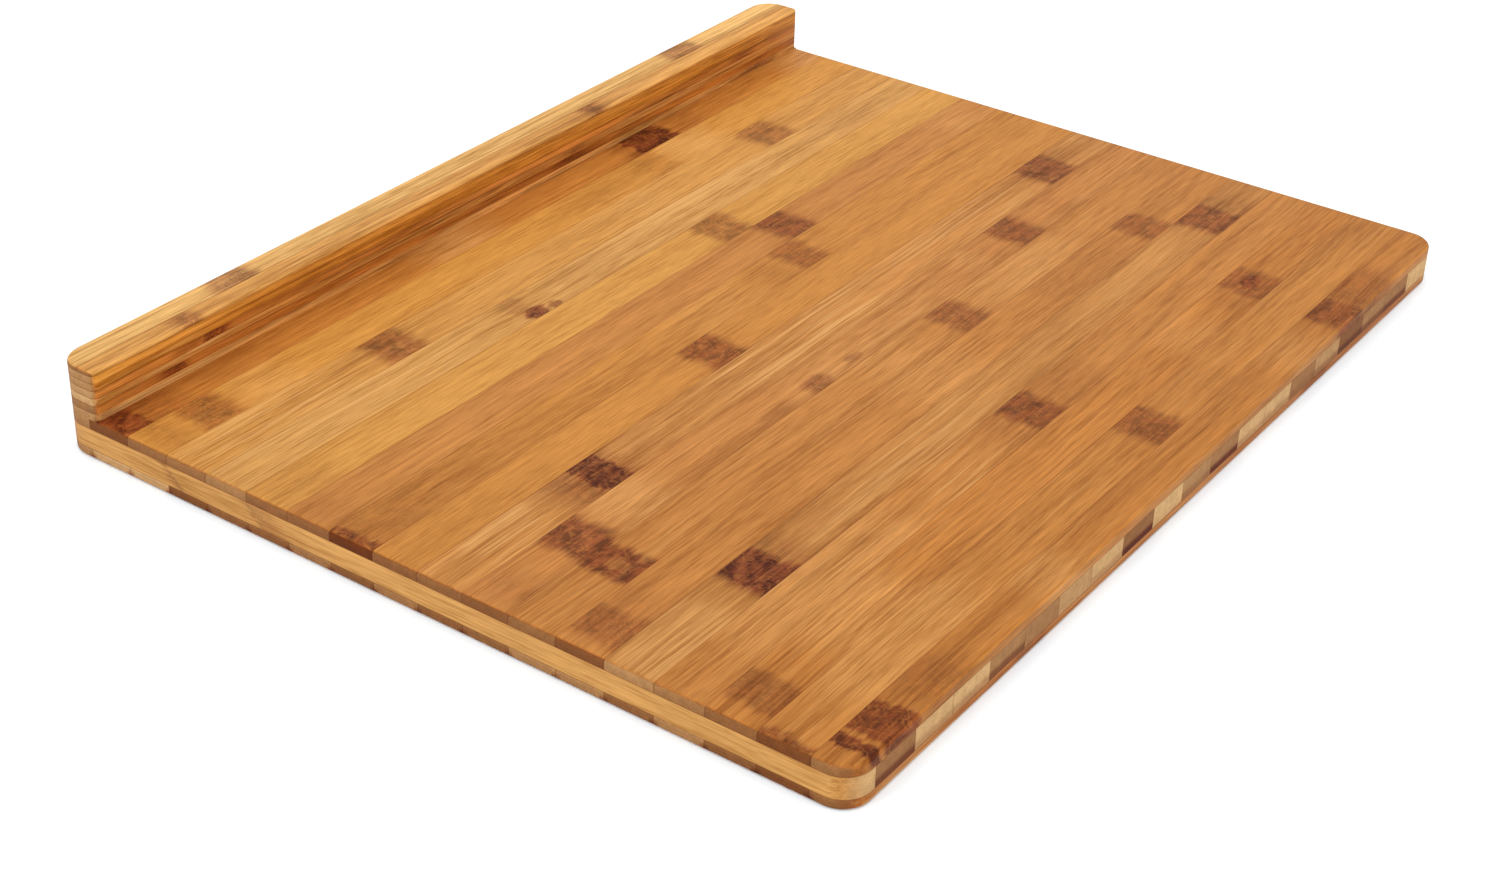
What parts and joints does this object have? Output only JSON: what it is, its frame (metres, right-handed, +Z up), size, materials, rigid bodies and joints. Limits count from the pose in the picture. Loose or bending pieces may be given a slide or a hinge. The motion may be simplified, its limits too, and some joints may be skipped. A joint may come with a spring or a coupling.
{
  "type": "cutting board",
  "caption": "Flat laminated bamboo cutting board with rounded corners and a raised backstop ledge along one long side.",
  "frame": {"origin": "middle of the flat underside, on the surface that the board lies on", "axes": "+X along the 18 inch side, the way that the face staves and the ledge run; +Y across the board towards the ledge; +Z up"},
  "size_m": [0.4572, 0.3556, 0.0381],
  "materials": {
    "bamboo_pale": "oiled satin, pale strip",
    "bamboo_golden": "oiled satin, golden strip",
    "bamboo_amber": "oiled satin, amber strip",
    "bamboo_tan": "oiled satin, tan strip",
    "bamboo_umber": "oiled satin, brown strip",
    "bamboo_smoked": "oiled satin, smoked strip"
  },
  "bodies": {
    "root": {"top_stave_01": "bamboo_tan", "top_stave_02": "bamboo_golden", "top_stave_03": "bamboo_golden", "top_stave_04": "bamboo_golden", "top_stave_05": "bamboo_golden", "top_stave_06": "bamboo_tan", "top_stave_07": "bamboo_golden", "top_stave_08": "bamboo_tan", "top_stave_09": "bamboo_pale", "top_stave_10": "bamboo_golden", "top_stave_11": "bamboo_umber", "top_stave_12": "bamboo_tan", "top_stave_13": "bamboo_golden", "top_stave_14": "bamboo_pale", "top_stave_15": "bamboo_tan", "top_stave_16": "bamboo_golden", "top_stave_17": "bamboo_amber", "top_stave_18": "bamboo_tan", "core_strip_01": "bamboo_pale", "core_strip_02": "bamboo_umber", "core_strip_03": "bamboo_pale", "core_strip_04": "bamboo_golden", "core_strip_05": "bamboo_umber", "core_strip_06": "bamboo_tan", "core_strip_07": "bamboo_pale", "core_strip_08": "bamboo_pale", "core_strip_09": "bamboo_smoked", "core_strip_10": "bamboo_pale", "core_strip_11": "bamboo_tan", "core_strip_12": "bamboo_umber", "core_strip_13": "bamboo_pale", "core_strip_14": "bamboo_pale", "core_strip_15": "bamboo_umber", "core_strip_16": "bamboo_tan", "core_strip_17": "bamboo_smoked", "core_strip_18": "bamboo_tan", "core_strip_19": "bamboo_pale", "core_strip_20": "bamboo_pale", "core_strip_21": "bamboo_pale", "bottom_edge_staves": "bamboo_tan", "bottom_stave_pair_1": "bamboo_tan", "bottom_stave_pair_2": "bamboo_umber", "bottom_stave_pair_3": "bamboo_golden", "bottom_stave_pair_4": "bamboo_umber", "bottom_stave_pair_5": "bamboo_amber", "bottom_stave_pair_6": "bamboo_smoked", "bottom_stave_pair_7": "bamboo_tan", "bottom_stave_pair_8": "bamboo_golden", "ledge_layer_1": "bamboo_tan", "ledge_layer_2": "bamboo_umber", "ledge_layer_3": "bamboo_tan", "ledge_layer_4": "bamboo_umber", "ledge_layer_5": "bamboo_golden", "ledge_layer_6": "bamboo_golden", "ledge_cap_front": "bamboo_golden", "ledge_cap_rear": "bamboo_pale"}
  },
  "joints": []
}
